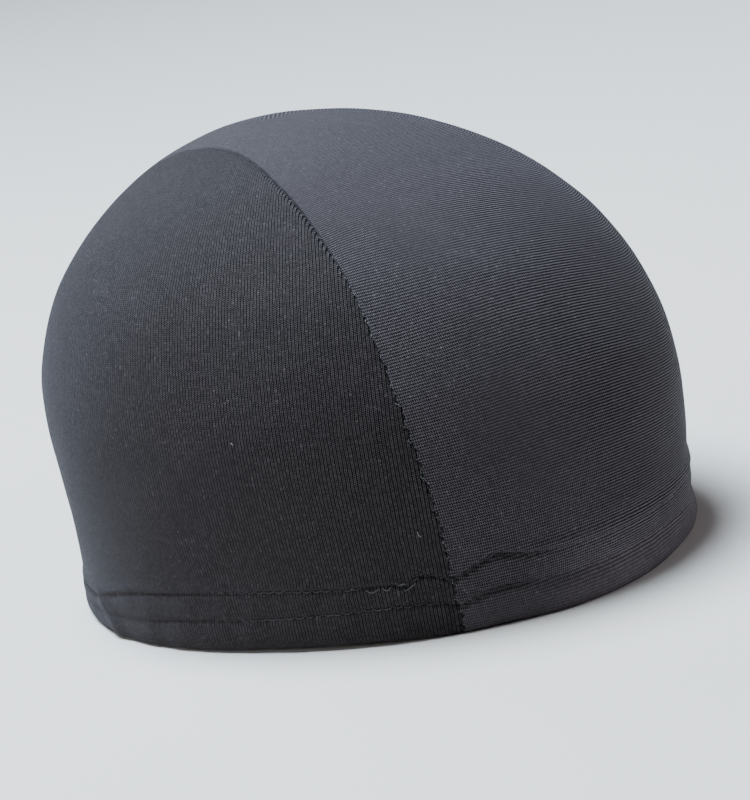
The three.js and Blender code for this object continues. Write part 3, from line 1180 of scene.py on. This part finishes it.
def stitch_tree():
    """Lays one bowed stitch on each point of a line, turned along it and standing on its outward side."""
    tree, board, read = line_tree("stitches on a line", STITCH_INPUTS)

    def chance(offset):
        """A number from -1 to 1 that differs from stitch to stitch."""
        values = {2: -1.0, 3: 1.0, "Seed": board.math("ADD", read["Seed"], offset)}
        return board.add("FunctionNodeRandomValue", {"data_type": "FLOAT"}, values, 1)

    def point(x, z):
        return board.add("ShaderNodeCombineXYZ", None, {0: x, 2: z})

    half = read["Length"] * 0.5
    bow = board.add("GeometryNodeCurveQuadraticBezier", None, {
        "Resolution": 6,
        "Start": point(half * -1, read["Sink"] * -1),
        "Middle": point(0.0, read["Rise"] * 2 + read["Sink"]),
        "End": point(half, read["Sink"] * -1),
    })
    stitch = swept(board, bow, 6, read["Thickness"])
    line = board.add("GeometryNodeMeshToCurve", None, {0: read["Line"]})
    vector = {"data_type": "FLOAT_VECTOR"}
    outward = board.add("GeometryNodeInputNamedAttribute", vector, {"Name": "outward"})
    along = board.add("GeometryNodeInputTangent")
    axes = {"primary_axis": "Z", "secondary_axis": "X"}
    turned = board.add("FunctionNodeAxesToRotation", axes, {0: outward, 1: along})
    slant = read["Slant"] + read["Unevenness"] * chance(1)
    sag = read["Sag"] + read["Unevenness"] * chance(4)
    pitch = read["Unevenness"] * chance(2) * 0.5
    twist = board.add("ShaderNodeCombineXYZ", None, {0: sag, 1: pitch, 2: slant})
    twist = board.add("FunctionNodeEulerToRotation", None, {0: twist})
    local = {"rotation_space": "LOCAL"}
    turned = board.add("FunctionNodeRotateRotation", local, {0: turned, 1: twist})
    size = 1 + read["Unevenness"] * chance(3)
    laid = board.add("GeometryNodeInstanceOnPoints", None, {
        "Points": line,
        "Instance": stitch,
        "Rotation": turned,
        "Scale": size,
    })
    finish_tree(board, laid, read["Thread"])
    return tree


def thread_tree():
    """Sweeps a thread along a line."""
    tree, board, read = line_tree("thread along a line", THREAD_INPUTS)
    line = board.add("GeometryNodeMeshToCurve", None, {0: read["Line"]})
    finish_tree(board, swept(board, line, 5, read["Thickness"]), read["Thread"])
    return tree


def sewn(name, tree, lines, settings):
    """A plain mesh of what a tree makes on lines, each one given as points and outward directions."""
    points = np.concatenate([line for line, _ in lines])
    outward = np.concatenate([out for _, out in lines])
    edges, first = [], 0
    for line, _ in lines:
        edges += [(first + i, first + i + 1) for i in range(len(line) - 1)]
        first += len(line)
    mesh = bpy.data.meshes.new(name + "_line")
    mesh.from_pydata((points * MM).tolist(), edges, [])
    attribute = mesh.attributes.new("outward", "FLOAT_VECTOR", "POINT")
    attribute.data.foreach_set("vector", outward.astype(np.float32).ravel())
    carrier = bpy.data.objects.new(name + "_line", mesh)
    bpy.context.scene.collection.objects.link(carrier)
    modifier = carrier.modifiers.new("stitches", "NODES")
    modifier.node_group = tree
    for item in tree.interface.items_tree:
        if item.in_out == "INPUT" and item.name in settings:
            modifier[item.identifier] = settings[item.name]
    graph = bpy.context.evaluated_depsgraph_get()
    made = bpy.data.meshes.new_from_object(carrier.evaluated_get(graph))
    made.name = name
    bpy.data.objects.remove(carrier)
    piece = bpy.data.objects.new(name, made)
    bpy.context.scene.collection.objects.link(piece)
    return piece


def on_panel(points, lift):
    """Points moved onto the outer side of the knit, and the outward directions there."""
    is_middle = np.abs(points[..., 0]) < centre_half(angle_over(points))
    relief = np.where(is_middle, outer_relief(points, True)[0], outer_relief(points, False)[0])
    normal = face_normal(points)
    return points + normal * (relief + lift)[..., None] + rim_shift(points), normal


# Stitches of the hem
UPPER, LOWER = 0, 1         # the lines' columns in the table, after the bearing
BELOW_LINE = 0.2            # how far below its groove's middle a stitch lies
TEMPLE = 47                 # the bearing that parts the sunk stitches in front from those at the sides
FRONT_LIFT = -0.2
SINKING = (70, 105)         # bearings between which the side ones sink in too
SLACK_START = -58.4         # the upper line's slack stitches lie between these bearings
SLACK_END = -48


def hem_line(column, shift, first_bearing, last_bearing):
    """One point for each stitch of a hem line between two bearings, halfway between its needle holes."""
    first = math.ceil((NAPE_RUN + shift) / STITCH_PITCH)
    run = (np.arange(first, first + STITCHES_ROUND) + 0.5) * STITCH_PITCH - shift
    bearings = np.interp(run, ROUND_RUN, ROUND_BEARINGS)
    degrees = np.degrees(bearings)
    kept = (degrees > first_bearing) & (degrees < last_bearing)
    heights = smooth_table(HEM_LINES, degrees)[:, column] - BELOW_LINE
    away = np.abs(degrees)
    side_lift = 0.02 - 0.4 * ease_between(*SINKING, away)
    lift = np.where(away < TEMPLE, FRONT_LIFT, side_lift)
    return on_panel(ring_round(bearings, heights)[kept], lift[kept])


def loose_loops():
    """The slack stitches of the upper line near the right seam, each bowed off the cloth."""
    lines = []
    for number in np.unique(LOOSE_LOOPS[:, 0]):
        rows = LOOSE_LOOPS[LOOSE_LOOPS[:, 0] == number]
        at = np.linspace(0, len(rows) - 1, 5 * len(rows))
        rows = smooth_table(np.column_stack([np.arange(len(rows)), rows[:, 1:]]), at)
        bow = 0.35 * np.sin(math.pi * at / at[-1]) - 0.15
        lines.append(on_panel(ring_round(np.radians(rows[:, 0]), rows[:, 1]), bow))
    return lines


def lint_lines():
    """Specks of pale lint that lie on the knit."""
    return [
        on_panel(ring_round(np.radians(bearings), heights), lift)
        for bearings, heights, lift in LINT
    ]


def inside_points(points, lift):
    """Points moved to the inner side of the hem, standing off it by the lift, and the directions there."""
    normal = face_normal(points)
    return points - normal * (2 * LAYER + lift) + rim_shift(points), -normal


def zigzag(phase):
    """Falls from 1 to 0 and rises again at each whole turn."""
    return np.abs(2 * (phase - np.floor(phase)) - 1)


def looper_line():
    """The thread that crosses between the two stitch lines inside the hem, and rests a little at each."""
    run = np.linspace(NAPE_RUN, run_round(math.pi), 8 * STITCHES_ROUND + 1)
    bearings = np.interp(run, ROUND_RUN, ROUND_BEARINGS)
    upper, lower = smooth_table(HEM_LINES, np.degrees(bearings)).T
    swing = np.clip(0.5 + 1.35 * (zigzag(run / STITCH_PITCH) - 0.5), 0, 1)
    return inside_points(ring_round(bearings, lower + (upper - lower) * swing), 0.12)


def seam_points(side, pitch, first, last):
    """Points along a seam between two angles over the head."""
    angle = angle_over(SEAMS[side])
    kept = SEAMS[side][(angle >= first) & (angle <= last)]
    run = run_along(kept)
    return spaced(kept, run, np.arange(pitch / 2, run[-1], pitch))


def swayed(points, side, sway):
    """Points of a seam moved across it, towards the middle of the head."""
    return points + np.stack([sway * -side, 0 * sway, 0 * sway], -1)


def seam_loops(side):
    """Places of the loops that show between the panels, a little uneven from side to side."""
    points = seam_points(side, pitch=1.45, first=3, last=177)
    steps = np.arange(len(points))
    sway = 0.22 * np.sin(2.4 * steps) + 0.14 * np.sin(0.7 * steps + side)
    points = swayed(points, side, sway)
    return on_panel(points, -0.04 - 0.3 * gather_strength(points))


def seam_strand(side):
    """The thin thread that surfaces here and there along the lower part of a seam."""
    points = seam_points(side, pitch=0.3, first=3, last=65)
    steps = np.arange(len(points))
    sway = 0.3 * np.sin(0.9 * steps + side) + 0.22 * np.sin(0.37 * steps) + 0.1
    dip = 0.5 + 0.5 * np.sin(0.53 * steps + 1.4 * np.sin(0.11 * steps))
    return on_panel(swayed(points, side, sway), 0.01 - 0.42 * dip)


OVERLOCK_HALF = 1.5         # half the overlock's width, and how far it stands off the allowance
OVERLOCK_LIFT = 0.2


def overlock_line(side):
    """The thread that wraps the seam's allowance inside."""
    points = seam_points(side, pitch=0.5, first=2, last=178)
    normal = face_normal(points)
    along = np.gradient(points, axis=0)
    along /= np.linalg.norm(along, axis=1, keepdims=True)
    sideways = OVERLOCK_HALF * (2 * zigzag(np.arange(len(points)) / 4) - 1)
    moved = points + np.cross(normal, along) * sideways[:, None]
    hem_layer = LAYER * (1 - ease_between(HEM_TOP - 2, HEM_TOP + 4, points[:, 2]))
    depth = LAYER + ALLOWANCE * hump(sideways, ALLOWANCE_WIDTH) + OVERLOCK_LIFT + hem_layer
    return moved - normal * depth[:, None], -normal


stitches = stitch_tree()
threads = thread_tree()
hem_stitches = sewn("hem_stitches", stitches, [
    hem_line(UPPER, UPPER_SHIFT, -180, SLACK_START),
    hem_line(UPPER, UPPER_SHIFT, SLACK_END, 180),
    hem_line(LOWER, LOWER_SHIFT, -180, 180),
], {
    "Length": 0.0026,
    "Thickness": 0.00014,
    "Rise": 0.0001,
    "Sink": 0.00035,
    "Sag": 0.9,
    "Seed": 3,
    "Thread": hem_thread,
})
slack_stitches = sewn("slack_stitches", threads, loose_loops(), {
    "Thickness": 0.00015,
    "Thread": seam_thread,
})
seam_stitches = sewn("seam_stitches", stitches, [seam_loops(-1), seam_loops(1)], {
    "Length": 0.001,
    "Thickness": 0.00009,
    "Rise": 0.00012,
    "Sink": 0.00015,
    "Slant": 0.5,
    "Unevenness": 0.5,
    "Seed": 8,
    "Thread": seam_thread,
})
seam_strands = sewn("seam_strands", threads, [seam_strand(-1), seam_strand(1)], {
    "Thickness": 0.00008,
    "Thread": pale_thread,
})
lint = sewn("lint", threads, lint_lines(), {
    "Thickness": 0.0001,
    "Thread": pale_thread,
})
hem_looper = sewn("hem_looper", threads, [looper_line()], {
    "Thickness": 0.00016,
    "Thread": hem_thread,
})
seam_overlock = sewn("seam_overlock", threads, [overlock_line(-1), overlock_line(1)], {
    "Thickness": 0.00016,
    "Thread": hem_thread,
})


# Floor and light
def make_floor():
    mesh = bpy.data.meshes.new("floor")
    mesh.from_pydata([(-5, -5, 0), (5, -5, 0), (5, 5, 0), (-5, 5, 0)], [], [(0, 1, 2, 3)])
    floor = bpy.data.objects.new("floor", mesh)
    bpy.context.scene.collection.objects.link(floor)
    material, board = new_material("pale floor")
    paint_values = {"Base Color": (0.56, 0.525, 0.495, 1), "Roughness": 0.9}
    paint = board.add("ShaderNodeBsdfPrincipled", None, paint_values)
    board.close("ShaderNodeOutputMaterial", paint)
    mesh.materials.append(material)


def make_light(name, place, size, power, colour):
    lamp = bpy.data.lights.new(name, "AREA")
    lamp.shape = "DISK"
    lamp.size = size
    lamp.energy = power
    lamp.color = colour
    light = bpy.data.objects.new(name, lamp)
    light.location = place
    light.rotation_euler = (VIEW_TARGET - Vector(place)).to_track_quat("-Z", "Y").to_euler()
    bpy.context.scene.collection.objects.link(light)


def make_world():
    world = bpy.data.worlds.new("pale studio")
    world.use_nodes = True
    background = world.node_tree.nodes["Background"]
    background.inputs["Color"].default_value = (1, 0.98, 0.97, 1)
    background.inputs["Strength"].default_value = 0.03
    bpy.context.scene.world = world


# Columns: name, place, diameter in metres, power in watts, colour
LIGHTS = (
    ("overhead softbox", (-0.08, 0.37, 1.46), 0.9, 101, (0.75, 0.885, 1.0)),
    ("front fill", (0.3, -1.5, 0.8), 0.8, 9, (0.95, 0.93, 1.0)),
    ("rear fill", (-0.9, 1.3, 0.35), 0.6, 14, (0.95, 0.97, 1.0)),
    ("back glow", (0.5, 1.3, 0.9), 0.8, 14, (0.6, 0.75, 1.0)),
)

make_floor()
for light in LIGHTS:
    make_light(*light)
make_world()

# The panels and the solids they stand for. Columns: piece, solid, then its size and its area in metres and
# square metres as it was cut, before stretching by a seventh round the head and a twentieth upwards
PANELS = (
    (centre_knit, "centre_panel", (0.145, 0.395), 0.0277),
    (right_knit, "right_side_panel", (0.174, 0.171), 0.0221),
    (left_knit, "left_side_panel", (0.174, 0.171), 0.0221),
)
for piece, node, flat, area in PANELS:
    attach(piece, "root")
    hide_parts(node)

for piece in (hem_stitches, slack_stitches, seam_stitches, seam_strands, lint, hem_looper, seam_overlock):
    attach(piece, "root")
